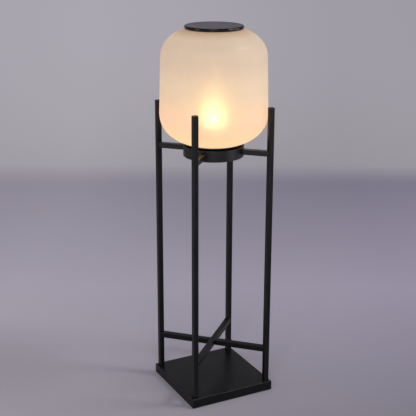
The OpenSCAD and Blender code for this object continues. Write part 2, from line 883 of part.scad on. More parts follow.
module bulb_globe() {
    color("#fff4d6", 0.9) difference() {
        translate([0, 0, globe_z]) sphere(r = globe_r);
        translate([0, 0, globe_z]) sphere(r = globe_r - globe_wall);
        disc(globe_r + 1, bulb_body_top - globe_d, globe_d);
    }
}

// ---------------------------------------------------------------- shade

module glass_shade() {
    steps = 18;
    inner = glass_line(glass_t, mouth_r, rim_z, steps);
    outer = glass_line(0, mouth_r, rim_z, steps);
    color("#f7ead2", 0.6) rotate_extrude() polygon(concat(outer, reversed(inner)));
}

module shade_collar() {
    color(dark_plastic) {
        ring(sleeve_inner, sleeve_outer, flange_z, sleeve_top - flange_z);
        ring(sleeve_outer - 0.5, collar_r, flange_z, collar_flange);
    }
}

module collar_nut() {
    color(dark_plastic) ring(sleeve_outer + 0.1, collar_r - 1, nut_z, nut_h);
}

module collar_gaskets() {
    inner = mouth_r + 0.4;
    outer = gasket_outer;
    slack = 0.05;
    color("#3a3a3a") {
        rotate_extrude() polygon([[inner, flange_top], [outer, flange_top],
                                  [outer, glass_outside_z(outer) - slack],
                                  [inner, glass_outside_z(inner) - slack]]);
        rotate_extrude() polygon([[inner, nut_z], [inner, glass_inside_z(inner) + slack],
                                  [outer, glass_inside_z(outer) + slack], [outer, nut_z]]);
    }
}

module contact_plug() {
    color(dark_plastic) at_turn(lead_turn, 0) {
        translate([plug_inner, -plug_w / 2, plug_z]) cube([plug_outer - plug_inner, plug_w, plug_h]);
        for (y = [-1, 1]) translate([socket_r, y * pin_pitch / 2, 0])
            disc(pin_r, plug_z - pin_len, pin_len + 1);
    }
}

module panel_lead() {
    steps = 10;
    end_z = plug_z + plug_h / 2;
    under_lid = high_turn(lead_z, lead_inset);
    low_end = low_turn(collar_r + 14, lead_inset);
    path = concat(
        [[box_side / 2 + 0.1, lead_z], [centre_ring_r, lead_z]],
        [for (i = [0 : steps]) high_point(under_lid * (1 - i / steps), lead_inset)],
        [for (i = [0 : steps]) low_point(90 + (low_end - 90) * i / steps, lead_inset)],
        [[collar_r + 4, end_z - 1.2], [collar_r - 2, end_z], [plug_outer + 0.1, end_z]]
    );
    color("#151515") at_turn(lead_turn, 0) flat_tube(path, lead_r);
}

module lead_clips() {
    hold = lead_r + 0.15;
    back = lead_r + 1.5;
    width = 7;
    height = 6;
    color("#e9e7e1") at_turn(lead_turn, 0) {
        // on the lid's underside
        difference() {
            translate([centre_ring_r - 14, -width / 2, lead_z - back])
                cube([height, width, cap_z - tiny - lead_z + back]);
            translate([centre_ring_r - 14 - cut, 0, lead_z])
                rotate([0, 90, 0]) cylinder(r = hold, h = height + 2 * cut);
        }
        // down the glass wall
        for (part = [0.15, 0.5, 0.85]) {
            z = wall_low_z + glass_wall_h * part;
            lean = (glass_r_low - glass_r_high) / glass_wall_h;
            glass_inner = glass_r_low - glass_t - lean * (z - wall_low_z);
            lead_at = glass_inner + glass_t - lead_inset;
            difference() {
                translate([lead_at - back, -width / 2, z - height / 2])
                    cube([glass_inner - 0.25 - lead_at + back, width, height]);
                translate([lead_at, 0, z]) rotate([0, -atan(lean), 0])
                    cylinder(r = hold, h = height + 2 * cut, center = true);
            }
        }
    }
}

// ---------------------------------------------------------------- lid and panel

module cap_shell() {
    color("#17181a") difference() {
        union() {
            translate([0, 0, cap_z]) rotate_extrude() union() {
                square([lid_r - rim_round, lid_h]);
                translate([0, rim_round]) square([lid_r, lid_h - 2 * rim_round]);
                for (z = [rim_round, lid_h - rim_round])
                    translate([lid_r - rim_round, z]) circle(r = rim_round);
            }
            ring(centre_ring_r - centre_ring_wall, centre_ring_r, cap_z - centre_ring_h,
                 centre_ring_h + 0.5);
        }
        disc(window_r + 0.1, backing_z, cap_top - backing_z + cut);
        hole(lid_hole_r, cap_z, backing_z - cap_z);
    }
}

module cap_seal() {
    color("#2c2a28") ring(centre_ring_r + 2.5, rim_r - 0.8, rim_z, seal_t);
}

module junction_box() {
    inner = box_side - 2 * box_wall;
    color(dark_plastic) at_turn(lead_turn, 0) difference() {
        translate([-box_side / 2, -box_side / 2, cap_z - tiny - box_h])
            cube([box_side, box_side, box_h]);
        translate([-inner / 2, -inner / 2, cap_z - box_h + box_wall]) cube([inner, inner, box_h]);
    }
}

module panel_board() {
    color("#d9d6cc") disc(window_r, backing_z, backing_t);
}

// Strips of cells side by side, left out where the panel's edge leaves less than strip_least
module solar_cells() {
    z = backing_z + backing_t + tiny;
    first = -floor((solar_r - strip_offset - strip_least) / strip_pitch);
    last = floor((solar_r + strip_offset - strip_least) / strip_pitch) + 1;
    color("#20263a") rotate([0, 0, strip_turn]) translate([0, 0, z]) linear_extrude(solar_t)
        for (i = [first : last]) intersection() {
            circle(r = solar_r);
            translate([-solar_r, strip_offset - i * strip_pitch + strip_gap / 2])
                square([2 * solar_r, strip_pitch - strip_gap]);
        }
}

module panel_window() {
    color("#8b9096", 0.4) disc(window_r, window_top - window_t, window_t);
}

base_pan();
ballast_slab();
base_cover();
cover_screws();
rubber_feet();
post_front();
post_right();
post_back();
post_left();
post_caps();
post_plugs();
post_screws();
brace_long();
brace_left();
brace_right();
arm_front();
arm_right();
arm_back();
arm_left();
lantern_cup();
foot_tray();
foot_lid();
foot_screws();
foot_pad();
battery_holder();
battery_cells();
control_board();
board_parts();
board_screws();
switch_body();
power_button();
inner_leads();
lamp_holder();
holder_contact();
holder_screws();
contact_socket();
bulb_cap();
bulb_body();
led_board();
bulb_globe();
glass_shade();
shade_collar();
collar_nut();
collar_gaskets();
contact_plug();
panel_lead();
lead_clips();
cap_shell();
cap_seal();
junction_box();
panel_board();
solar_cells();
panel_window();
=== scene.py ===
"""Looks of the lantern floor lamp: a welded black stand that carries a lift-out solar lantern."""

from math import acos, asin, cos, pi, radians, sin

import bpy
from mathutils import Matrix, Vector


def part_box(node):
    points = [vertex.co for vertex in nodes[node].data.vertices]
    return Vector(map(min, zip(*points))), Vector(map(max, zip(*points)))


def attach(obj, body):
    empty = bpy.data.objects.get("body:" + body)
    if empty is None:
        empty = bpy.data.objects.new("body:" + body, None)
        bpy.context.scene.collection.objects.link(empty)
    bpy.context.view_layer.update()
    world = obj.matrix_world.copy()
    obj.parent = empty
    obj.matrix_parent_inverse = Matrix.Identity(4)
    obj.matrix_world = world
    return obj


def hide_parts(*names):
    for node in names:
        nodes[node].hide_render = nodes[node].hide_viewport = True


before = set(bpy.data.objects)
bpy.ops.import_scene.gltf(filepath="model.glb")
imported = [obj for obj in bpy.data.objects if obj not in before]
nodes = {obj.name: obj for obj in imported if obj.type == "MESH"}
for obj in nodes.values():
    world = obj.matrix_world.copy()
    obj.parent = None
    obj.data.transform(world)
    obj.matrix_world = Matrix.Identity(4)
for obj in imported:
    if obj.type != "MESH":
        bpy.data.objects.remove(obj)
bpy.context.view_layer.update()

bpy.ops.object.select_all(action="DESELECT")

# ------------------------------------------------------------------ powder-coated steel
# The base pan, posts, braces, arms and cup are mild steel, welded and then powder-coated
# in satin black. Baked powder keeps a fine orange peel; its sharp edges are lighter, partly
# from thin powder and partly as a painted highlight.

MM = 0.001


def new_group(name, inputs, outputs):
    """A node group with number sockets, and its input and output nodes."""
    group = bpy.data.node_groups.new(name, "ShaderNodeTree")
    for label, value in inputs.items():
        socket = group.interface.new_socket(label, in_out="INPUT", socket_type="NodeSocketFloat")
        socket.default_value = value
    for label in outputs:
        group.interface.new_socket(label, in_out="OUTPUT", socket_type="NodeSocketFloat")
    return group, group.nodes.new("NodeGroupInput"), group.nodes.new("NodeGroupOutput")


class Nodes:
    """Adds nodes to a tree and links them."""

    def __init__(self, tree):
        self.tree = tree

    def add(self, kind, links=None, **settings):
        node = self.tree.nodes.new(kind)
        for name, value in settings.items():
            setattr(node, name, value)
        for name, value in (links or {}).items():
            self.put(value, node.inputs[name])
        return node

    def put(self, value, socket):
        if isinstance(value, bpy.types.NodeSocket):
            self.tree.links.new(value, socket)
        else:
            socket.default_value = value

    def math(self, operation, a, b=0.0):
        return self.add("ShaderNodeMath", {0: a, 1: b}, operation=operation).outputs[0]

    def mix(self, factor, a, b):
        """The colour between a and b; a colour mix has its sockets at 0, 6 and 7, and 2."""
        return self.add("ShaderNodeMix", {0: factor, 6: a, 7: b}, data_type="RGBA").outputs[2]

    def ranged(self, value, low, high, to_low=0.0, to_high=1.0):
        node = self.add("ShaderNodeMapRange", {
            "Value": value, "From Min": low, "From Max": high,
            "To Min": to_low, "To Max": to_high})
        return node.outputs[0]

    def noise(self, vector, scale, detail=2.0, roughness=0.5):
        node = self.add("ShaderNodeTexNoise", {
            "Vector": vector, "Scale": scale, "Detail": detail, "Roughness": roughness})
        return node.outputs["Fac"]

    def object_point(self):
        return self.add("ShaderNodeTexCoord").outputs["Object"]

    def height(self):
        return self.add("ShaderNodeSeparateXYZ", {0: self.object_point()}).outputs["Z"]

    def bump(self, height, distance, normal=None):
        node = self.add("ShaderNodeBump", {"Height": height, "Distance": distance})
        if normal:
            self.put(normal, node.inputs["Normal"])
        return node.outputs["Normal"]


# Fine grain: an even mottle of one size, as orange peel, moulded texture or sawn stone
BROAD_SHARE = 0.02
grain, grain_in, grain_out = new_group("fine_grain", {"Scale": 1000.0}, ["Fine", "Broad"])
n = Nodes(grain)
grain_point = n.object_point()
n.put(n.noise(grain_point, grain_in.outputs["Scale"], 3.0), grain_out.inputs["Fine"])
n.put(n.noise(grain_point, n.math("MULTIPLY", grain_in.outputs["Scale"], BROAD_SHARE), 3.0),
      grain_out.inputs["Broad"])

# Edge wear and painted edge highlight: 1 on sharp outer edges, broken up, and 0 on flats.
# The rounded normal of an edge leans away from the true one, and the two numbers are the
# cosines where the mark starts and ends.
WEAR_STARTS, WEAR_FULL = 0.99, 0.86
wear, wear_in, wear_out = new_group("edge_wear_and_highlight", {"Radius": 1 * MM}, ["Mask"])
n = Nodes(wear)
rounded = n.add("ShaderNodeBevel", {"Radius": wear_in.outputs["Radius"]}, samples=4)
straight = n.add("ShaderNodeNewGeometry")
facing = n.add("ShaderNodeVectorMath", {0: rounded.outputs[0], 1: straight.outputs["Normal"]},
               operation="DOT_PRODUCT")
broken = n.noise(n.object_point(), 90.0, 4.0, 0.7)
n.put(n.math("MULTIPLY", n.ranged(facing.outputs["Value"], WEAR_STARTS, WEAR_FULL),
             n.ranged(broken, 0.35, 0.6)), wear_out.inputs["Mask"])

# Settled dust: on faces that look up, in soft patches
dust, dust_in, dust_out = new_group("settled_dust", {"Scale": 12.0}, ["Mask"])
n = Nodes(dust)
upward = n.add("ShaderNodeSeparateXYZ",
               {0: n.add("ShaderNodeNewGeometry").outputs["Normal"]}).outputs["Z"]
patches = n.noise(n.object_point(), dust_in.outputs["Scale"], 6.0, 0.65)
n.put(n.math("MULTIPLY", n.ranged(upward, 0.6, 1.0), n.ranged(patches, 0.4, 0.8)),
      dust_out.inputs["Mask"])


def finish(name, **plain):
    """A new material: its node helper and its shader, with the plain values set."""
    material = bpy.data.materials.new(name)
    material.use_nodes = True
    shader = material.node_tree.nodes["Principled BSDF"]
    for label, value in plain.items():
        shader.inputs[label.replace("_", " ")].default_value = value
    return material, Nodes(material.node_tree), shader


def place_group(helper, group, **values):
    """A node group placed in a material with its own values: its outputs."""
    node = helper.add("ShaderNodeGroup", node_tree=group)
    for label, value in values.items():
        helper.put(value, node.inputs[label])
    return node.outputs


def coat_nodes(material, *names):
    """Gives CAD nodes their material."""
    for name in names:
        nodes[name].data.materials.clear()
        nodes[name].data.materials.append(material)


POWDER_DEEP = (0.0022, 0.0022, 0.0025, 1)
POWDER_PALE = (0.0038, 0.0037, 0.0040, 1)
# Edges are mixed towards this lighter grey: partly worn powder, partly a painted highlight
RUBBED_AND_HIGHLIGHT_GREY = (0.075, 0.073, 0.070, 1)
RUBBED_AND_HIGHLIGHT_SHARE = 0.8
RUBBED_POLISH = 0.10
DUST_GREY = (0.30, 0.29, 0.27, 1)
DUST_SHARE = 0.02
PEEL_DEPTH = 0.06 * MM
WEAR_WIDE = 1.2 * MM

# Edges are worn and lit by a painted highlight from the pan's top up; its lower edges keep their powder
pan_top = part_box("base_pan")[1].z
RUBBED_FROM, RUBBED_FULL = pan_top - 6 * MM, pan_top - 3 * MM


def powder(name, gloss, low, high, edge_round):
    """Black powder coat with its reflection level, roughness range and rounded edges."""
    material, helper, bsdf = finish(name, IOR=1.5, Specular_IOR_Level=gloss)
    peel = place_group(helper, grain, Scale=1500.0)
    rubbed_and_highlit = helper.math("MULTIPLY", place_group(helper, wear, Radius=WEAR_WIDE)["Mask"],
                         helper.ranged(helper.height(), RUBBED_FROM, RUBBED_FULL))
    settled = place_group(helper, dust, Scale=14.0)["Mask"]
    black = helper.mix(helper.ranged(peel["Broad"], 0.3, 0.7), POWDER_DEEP, POWDER_PALE)
    # Sharp edges lighten: worn powder and a painted edge highlight
    black = helper.mix(helper.math("MULTIPLY", rubbed_and_highlit, RUBBED_AND_HIGHLIGHT_SHARE), black, RUBBED_AND_HIGHLIGHT_GREY)
    black = helper.mix(helper.math("MULTIPLY", settled, DUST_SHARE), black, DUST_GREY)
    helper.put(black, bsdf.inputs["Base Color"])
    satin = helper.ranged(peel["Broad"], 0.2, 0.8, low, high)
    polished = helper.math("MULTIPLY", rubbed_and_highlit, RUBBED_POLISH)
    helper.put(helper.math("SUBTRACT", satin, polished), bsdf.inputs["Roughness"])
    soft_edge = helper.add("ShaderNodeBevel", {"Radius": edge_round}, samples=8).outputs[0]
    helper.put(helper.bump(peel["Fine"], PEEL_DEPTH, soft_edge), bsdf.inputs["Normal"])
    return material


# The pan and the tubes have a duller coat; the cup and the arms get glossier copies of it, so
# that they reflect the lamps and the glass's glow more brightly, as a painted reflection.
SHEET_ROUND = 1.0 * MM
TUBE_ROUND = 2.8 * MM
coat_nodes(powder("powder_coat_base", 0.20, 0.30, 0.40, SHEET_ROUND), "base_pan", "base_cover")
coat_nodes(powder("powder_coat_tube", 0.21, 0.36, 0.46, TUBE_ROUND),
           "post_front", "post_right", "post_back", "post_left", "post_caps",
           "brace_long", "brace_left", "brace_right")
coat_nodes(powder("powder_coat_cup", 0.40, 0.32, 0.42, SHEET_ROUND), "lantern_cup")
coat_nodes(powder("powder_coat_arms", 0.50, 0.24, 0.32, TUBE_ROUND),
           "arm_front", "arm_right", "arm_back", "arm_left")

# ------------------------------------------------------------------ ballast, screws and feet
# A cast slab fills the pan so that the tall lamp stands firm. It is coloured near black as
# painted shade, so that the bore in the pan's side reads dark.
# Zinc-plated screws hold the cover, the posts and the inner parts; the feet are rubber.

cast_slab, n, shader = finish("cast_slab", Roughness=0.92, Specular_IOR_Level=0.1)
sand = place_group(n, grain, Scale=700.0)
# Near black: painted shade seen through the side bore
n.put(n.mix(n.ranged(sand["Fine"], 0.3, 0.75), (0.004, 0.004, 0.004, 1), (0.009, 0.009, 0.009, 1)),
      shader.inputs["Base Color"])
n.put(n.bump(sand["Fine"], 0.4 * MM), shader.inputs["Normal"])
coat_nodes(cast_slab, "ballast_slab")

plated_steel, n, shader = finish("plated_steel", Metallic=1.0)
zinc = place_group(n, grain, Scale=2200.0)
n.put(n.mix(zinc["Broad"], (0.52, 0.54, 0.57, 1), (0.66, 0.67, 0.67, 1)), shader.inputs["Base Color"])
n.put(n.ranged(zinc["Fine"], 0.25, 0.75, 0.24, 0.40), shader.inputs["Roughness"])
n.put(n.bump(zinc["Fine"], 0.02 * MM), shader.inputs["Normal"])
coat_nodes(plated_steel, "cover_screws", "post_plugs", "post_screws", "foot_screws",
           "board_screws", "holder_screws")

rubber, n, shader = finish("rubber")
crumb = place_group(n, grain, Scale=1800.0)
n.put(n.mix(crumb["Fine"], (0.014, 0.014, 0.014, 1), (0.030, 0.030, 0.029, 1)), shader.inputs["Base Color"])
n.put(n.ranged(crumb["Broad"], 0.2, 0.8, 0.75, 0.90), shader.inputs["Roughness"])
n.put(n.bump(crumb["Fine"], 0.12 * MM), shader.inputs["Normal"])
coat_nodes(rubber, "rubber_feet", "foot_pad", "collar_gaskets", "cap_seal")

# ------------------------------------------------------------------ lantern foot
# The foot is a moulded black tray and lid that stand in the cup on a soft pad. It holds
# the cells, the control board with its switch, the lamp holder and the contact socket.


def moulded(name, dark, light, low, high, scale=1600.0, relief="Fine", depth=0.03 * MM, **plain):
    """A moulded, plated or fired finish: two close tones, a grained roughness and a fine relief."""
    material, helper, bsdf = finish(name, **plain)
    texture = place_group(helper, grain, Scale=scale)
    helper.put(helper.mix(texture["Broad"], (*dark, 1), (*light, 1)), bsdf.inputs["Base Color"])
    helper.put(helper.ranged(texture["Fine"], 0.2, 0.8, low, high), bsdf.inputs["Roughness"])
    helper.put(helper.bump(texture[relief], depth), bsdf.inputs["Normal"])
    return material


coat_nodes(moulded("black_plastic", (0.010, 0.010, 0.011), (0.018, 0.018, 0.019), 0.42, 0.60, 2600.0,
                   depth=0.05 * MM, IOR=1.5),
           "foot_tray", "battery_holder", "switch_body", "board_parts",
           "contact_socket", "collar_nut", "contact_plug", "junction_box")
coat_nodes(moulded("cell_sleeve", (0.020, 0.16, 0.075), (0.030, 0.22, 0.10), 0.28, 0.42, 900.0,
                   relief="Broad", depth=0.10 * MM, Coat_Weight=0.4, Coat_Roughness=0.12),
           "battery_cells")

# The board's tracks run in long fields with bare lines between them
board_green, n, shader = finish("board_green", Coat_Weight=0.5, Coat_Roughness=0.15)
tracks = n.add("ShaderNodeTexBrick", {
    "Vector": n.object_point(), "Scale": 160.0, "Mortar Size": 0.06, "Bias": 0.0,
    "Color1": (1, 1, 1, 1), "Color2": (0.8, 0.8, 0.8, 1), "Mortar": (0, 0, 0, 1),
    "Brick Width": 0.9, "Row Height": 0.32})
copper = n.add("ShaderNodeRGBToBW", {0: tracks.outputs["Color"]}).outputs[0]
n.put(n.mix(copper, (0.030, 0.115, 0.040, 1), (0.010, 0.060, 0.022, 1)), shader.inputs["Base Color"])
n.put(n.ranged(copper, 0.0, 1.0, 0.45, 0.34), shader.inputs["Roughness"])
n.put(n.bump(copper, 0.03 * MM), shader.inputs["Normal"])
coat_nodes(board_green, "control_board")

# The foot lid and the collar are darker and duller than the other black plastic: painted shade in the gap
# between the glass and the cup
coat_nodes(moulded("lid_shade_black", (0.0025, 0.0025, 0.0028), (0.0040, 0.0040, 0.0043), 0.80, 0.95,
                   Specular_IOR_Level=0.1), "foot_lid", "shade_collar")
coat_nodes(moulded("button_red", (0.42, 0.020, 0.016), (0.52, 0.030, 0.022), 0.35, 0.48), "power_button")
coat_nodes(moulded("lead_red", (0.36, 0.015, 0.012), (0.46, 0.022, 0.018), 0.40, 0.52), "inner_leads")
coat_nodes(moulded("lead_black", (0.010, 0.010, 0.010), (0.018, 0.018, 0.018), 0.40, 0.52), "panel_lead")
coat_nodes(moulded("holder_ceramic", (0.70, 0.68, 0.63), (0.78, 0.77, 0.73), 0.10, 0.24, 500.0,
                   Coat_Weight=0.6, Coat_Roughness=0.06), "lamp_holder")
coat_nodes(moulded("brass", (0.62, 0.43, 0.17), (0.74, 0.53, 0.23), 0.22, 0.36, Metallic=1.0),
           "holder_contact")

# ------------------------------------------------------------------ bulb
# A small screw-in LED bulb: nickel-plated cap, white body, a white board with its chips and
# an opal bowl, which glows warm and is the bright spot seen through the glass.

coat_nodes(moulded("nickel_cap", (0.60, 0.58, 0.54), (0.72, 0.70, 0.66), 0.20, 0.34, Metallic=1.0),
           "bulb_cap")
coat_nodes(moulded("white_plastic", (0.70, 0.69, 0.66), (0.78, 0.77, 0.74), 0.32, 0.46),
           "bulb_body", "lead_clips")
coat_nodes(moulded("led_white", (0.74, 0.70, 0.55), (0.82, 0.80, 0.72), 0.30, 0.45), "led_board")

BOWL_R = 19.5 * MM
BOWL_WALL = 1.2 * MM
NECK_R = 0.86 * BOWL_R
BOWL_POINTS = 28
BOWL_STEPS = 96
WELD_GAP = 0.002 * MM
SMOOTH_TURN = radians(32)


def lathe(name, outline, steps):
    """A turned piece: a closed outline of (radius, height) points spun round the upright axis."""
    bpy.ops.object.select_all(action="DESELECT")
    bpy.ops.mesh.primitive_plane_add(size=MM, location=(0, 0, 0))
    piece = bpy.context.object
    piece.name = name
    bpy.ops.object.mode_set(mode="EDIT")
    bpy.ops.mesh.select_all(action="SELECT")
    bpy.ops.mesh.merge(type="CENTER")
    points = [Vector((radius, 0, height)) for radius, height in outline]
    bpy.ops.transform.translate(value=points[0])
    for here, there in zip(points, points[1:] + points[:1]):
        bpy.ops.mesh.extrude_region_move(TRANSFORM_OT_translate={"value": there - here})
    bpy.ops.mesh.select_all(action="SELECT")
    bpy.ops.mesh.remove_doubles(threshold=WELD_GAP)
    bpy.ops.mesh.spin(steps=steps, angle=2 * pi, center=(0, 0, 0), axis=(0, 0, 1))
    bpy.ops.mesh.select_all(action="SELECT")
    bpy.ops.mesh.remove_doubles(threshold=WELD_GAP)
    bpy.ops.mesh.normals_make_consistent(inside=False)
    bpy.ops.object.mode_set(mode="OBJECT")
    piece.data.name = name
    bpy.ops.object.shade_smooth_by_angle(angle=SMOOTH_TURN)
    return piece


bowl_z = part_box("bulb_globe")[1].z - BOWL_R


def bowl_arc(radius):
    """Points of the bowl from its neck up to its crown."""
    start = -acos(NECK_R / BOWL_R)
    turns = [start + (pi / 2 - start) * i / BOWL_POINTS for i in range(BOWL_POINTS + 1)]
    return [(radius * cos(turn), bowl_z + radius * sin(turn)) for turn in turns]


bulb_bowl = lathe("bulb_bowl", bowl_arc(BOWL_R) + bowl_arc(BOWL_R - BOWL_WALL)[::-1], BOWL_STEPS)

# The bowl is white hot where it is looked at squarely and turns amber towards its outline
BOWL_GLOW = 240.0
WHITE_HOT = (1.0, 0.86, 0.66, 1)
AMBER = (0.25, 0.135, 0.006, 1)
bulb_glass, n, shader = finish("bulb_glass", Roughness=0.35, Emission_Strength=BOWL_GLOW)
milk = place_group(n, grain, Scale=600.0)
n.put(n.mix(milk["Broad"], (0.86, 0.80, 0.68, 1), (0.92, 0.88, 0.78, 1)), shader.inputs["Base Color"])
facing = n.add("ShaderNodeLayerWeight", {"Blend": 0.5}).outputs["Facing"]
n.put(n.mix(n.ranged(facing, 0.02, 0.24), WHITE_HOT, AMBER), shader.inputs["Emission Color"])
bulb_bowl.data.materials.append(bulb_glass)
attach(bulb_bowl, "bulb")
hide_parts("bulb_globe")

# ------------------------------------------------------------------ glass shade
# One blown opal-white shade, 3 mm thick, etched outside so that it reads as frosted. The
# bulb's light in the etched skin is painted on as a glow: warm low down round the bulb, paler above.

# The barrel's lower and upper shoulders are fuller than ellipses, and each has its own
# radius and height. Between them the wall leans in a little.
GLASS_R_LOW = 145.75 * MM
GLASS_R_HIGH = 141.5 * MM
GLASS_LOW_H = 93 * MM
GLASS_HIGH_H = 87.5 * MM
GLASS_ROUND = 2.26
GLASS_T = 3 * MM
MOUTH_R = 45.2 * MM
RIM_R = 77.3 * MM
SHOULDER_POINTS = 30
GLASS_STEPS = 192

shade_low, shade_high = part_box("glass_shade")


def rise(radius, across, high):
    """How far a shoulder has risen from its pole at this radius."""
    return high * (1 - cos(asin((radius / across) ** (GLASS_ROUND / 2))) ** (2 / GLASS_ROUND))


glass_pole_z = shade_low.z - rise(MOUTH_R, GLASS_R_LOW, GLASS_LOW_H)
wall_low_z = glass_pole_z + GLASS_LOW_H
wall_high_z = shade_high.z - GLASS_HIGH_H + rise(RIM_R, GLASS_R_HIGH, GLASS_HIGH_H)


def glass_line(inset):
    """One face of the glass, from the lower mouth up to the rim."""
    low_r, low_h = GLASS_R_LOW - inset, GLASS_LOW_H - inset
    high_r, high_h = GLASS_R_HIGH - inset, GLASS_HIGH_H - inset
    start = asin((MOUTH_R / low_r) ** (GLASS_ROUND / 2))
    end = asin(((shade_high.z - wall_high_z) / high_h) ** (GLASS_ROUND / 2))
    power = 2 / GLASS_ROUND
    shares = [i / SHOULDER_POINTS for i in range(SHOULDER_POINTS + 1)]
    lower = [start + (pi / 2 - start) * share for share in shares]
    upper = [end * share for share in shares]
    return ([(low_r * sin(a) ** power, wall_low_z - low_h * max(cos(a), 0) ** power) for a in lower]
            + [(high_r * cos(a) ** power, wall_high_z + high_h * sin(a) ** power) for a in upper])


shade = lathe("shade_glass", glass_line(0) + glass_line(GLASS_T)[::-1], GLASS_STEPS)

frosted_glass, n, shader = finish(
    "frosted_glass", IOR=1.45, Transmission_Weight=0.55, Metallic=0.0,
    Sheen_Weight=0.25, Sheen_Roughness=0.2, Sheen_Tint=(1.0, 0.95, 0.88, 1))
etched = place_group(n, grain, Scale=2400.0)
n.put(n.mix(etched["Broad"], (0.22, 0.205, 0.190, 1), (0.26, 0.240, 0.220, 1)), shader.inputs["Base Color"])
# Between the etched pits the glass stays nearly clear, which keeps the bulb's bright spot
n.put(n.ranged(etched["Fine"], 0.30, 0.51, 0.11, 1.0), shader.inputs["Roughness"])
n.put(n.bump(etched["Fine"], 0.04 * MM), shader.inputs["Normal"])

# Painted glow on the glass, in place of the bulb's light scattered in the etched skin, from
# below the mouth (0) to above the rim (1). It is held black up to the clamp ring as painted
# shade, is strongest low down, and darkens under the lid as painted shade.
PAINTED_GLOW_LOW, PAINTED_GLOW_HIGH = 690 * MM, 1025 * MM
painted_glow = n.add("ShaderNodeValToRGB", {0: n.ranged(n.height(), PAINTED_GLOW_LOW, PAINTED_GLOW_HIGH)})
painted_glow.color_ramp.interpolation = "EASE"
stops = [
    # Black at the clamp ring and dark amber under the lid are painted shade; the stops between are painted
    # light
    (0.075, (0.0, 0.0, 0.0)),
    (0.10, (0.88, 0.53, 0.27)),
    (0.33, (0.66, 0.42, 0.253)),
    (0.56, (0.52, 0.385, 0.25)),
    (0.80, (0.43, 0.315, 0.225)),
    (0.93, (0.41, 0.30, 0.215)),
    (1.0, (0.28, 0.17, 0.09)),
]
ramp = painted_glow.color_ramp.elements
for place, colour in stops[1:-1]:
    ramp.new(place)
for element, (place, colour) in zip(ramp, stops):
    element.position = place
    element.color = (*colour, 1)
n.put(painted_glow.outputs["Color"], shader.inputs["Emission Color"])
shader.inputs["Emission Strength"].default_value = 1.0
shade.data.materials.append(frosted_glass)

# The inner face is left smooth: it is told apart by the way that its normals point
clear_face, n, shader = finish("clear_face", IOR=1.45, Transmission_Weight=1.0, Metallic=0.0)
ripple = place_group(n, grain, Scale=300.0)
n.put(n.mix(ripple["Broad"], (0.97, 0.95, 0.92, 1), (0.99, 0.98, 0.96, 1)), shader.inputs["Base Color"])
n.put(n.ranged(ripple["Fine"], 0.2, 0.8, 0.08, 0.14), shader.inputs["Roughness"])
shade.data.materials.append(clear_face)
for face in shade.data.polygons:
    x, y, z = face.center
    outward = face.normal.x * x + face.normal.y * y
    if z < wall_low_z:
        outward -= face.normal.z * (wall_low_z - z)
    elif z > wall_high_z:
        outward += face.normal.z * (z - wall_high_z)
    face.material_index = 0 if outward > 0 else 1
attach(shade, "shade")
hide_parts("glass_shade")

# ------------------------------------------------------------------ lid with its solar panel
# A glossy moulded lid sits on the glass's upper rim on a soft seal. Set in it is the round
# panel: dark cell strips on a pale board, under a clear plate.

coat_nodes(moulded("gloss_black", (0.0025, 0.0025, 0.0030), (0.0040, 0.0040, 0.0046), 0.16, 0.26, 1400.0,
                   relief="Broad", IOR=1.5, Specular_IOR_Level=0.02, Coat_Weight=0.5, Coat_Roughness=0.03),
           "cap_shell")
coat_nodes(moulded("board_white", (0.82, 0.82, 0.84), (0.88, 0.88, 0.90), 0.40, 0.55), "panel_board")

# Fine silver fingers cross each strip, and wider busbars join them
STRIP_TURN = radians(49)
FINGER_PITCH = 2.0 * MM
FINGER_SHARE = 0.08
BUSBAR_PITCH = 19.0 * MM
BUSBAR_SHARE = 0.06
SILVER_SHARE = 0.35
solar_blue, n, shader = finish("solar_blue", Specular_IOR_Level=0.2)
along = n.add("ShaderNodeMapping", {"Vector": n.object_point(), "Rotation": (0, 0, -STRIP_TURN)})
axes = n.add("ShaderNodeSeparateXYZ", {0: along.outputs[0]})
finger = n.math("FRACT", n.math("DIVIDE", axes.outputs["X"], FINGER_PITCH))
busbar = n.math("FRACT", n.math("DIVIDE", axes.outputs["Y"], BUSBAR_PITCH))
silver = n.math("MAXIMUM", n.math("LESS_THAN", finger, FINGER_SHARE),
                n.math("LESS_THAN", busbar, BUSBAR_SHARE))
wafer = place_group(n, grain, Scale=900.0)
silicon = n.mix(wafer["Broad"], (0.006, 0.008, 0.016, 1), (0.010, 0.013, 0.026, 1))
n.put(n.mix(n.math("MULTIPLY", silver, SILVER_SHARE), silicon, (0.30, 0.30, 0.32, 1)),
      shader.inputs["Base Color"])
n.put(n.ranged(wafer["Fine"], 0.2, 0.8, 0.22, 0.34), shader.inputs["Roughness"])
n.put(silver, shader.inputs["Metallic"])
coat_nodes(solar_blue, "solar_cells")

clear_window, n, shader = finish("clear_window", IOR=1.15, Transmission_Weight=1.0, Metallic=0.0)
wiped = place_group(n, grain, Scale=1100.0)
settled = place_group(n, dust, Scale=26.0)["Mask"]
n.put(n.mix(n.math("MULTIPLY", settled, 0.10), (0.66, 0.67, 0.71, 1), (0.60, 0.60, 0.60, 1)),
      shader.inputs["Base Color"])
n.put(n.ranged(wiped["Broad"], 0.2, 0.8, 0.20, 0.28), shader.inputs["Roughness"])
coat_nodes(clear_window, "panel_window")

# ------------------------------------------------------------------ floor, light and camera
# A pale seamless sweep and four soft lamps: a broad one on the right, a weak one on the
# left, a small one above and the main one in front, beside the camera and above it.

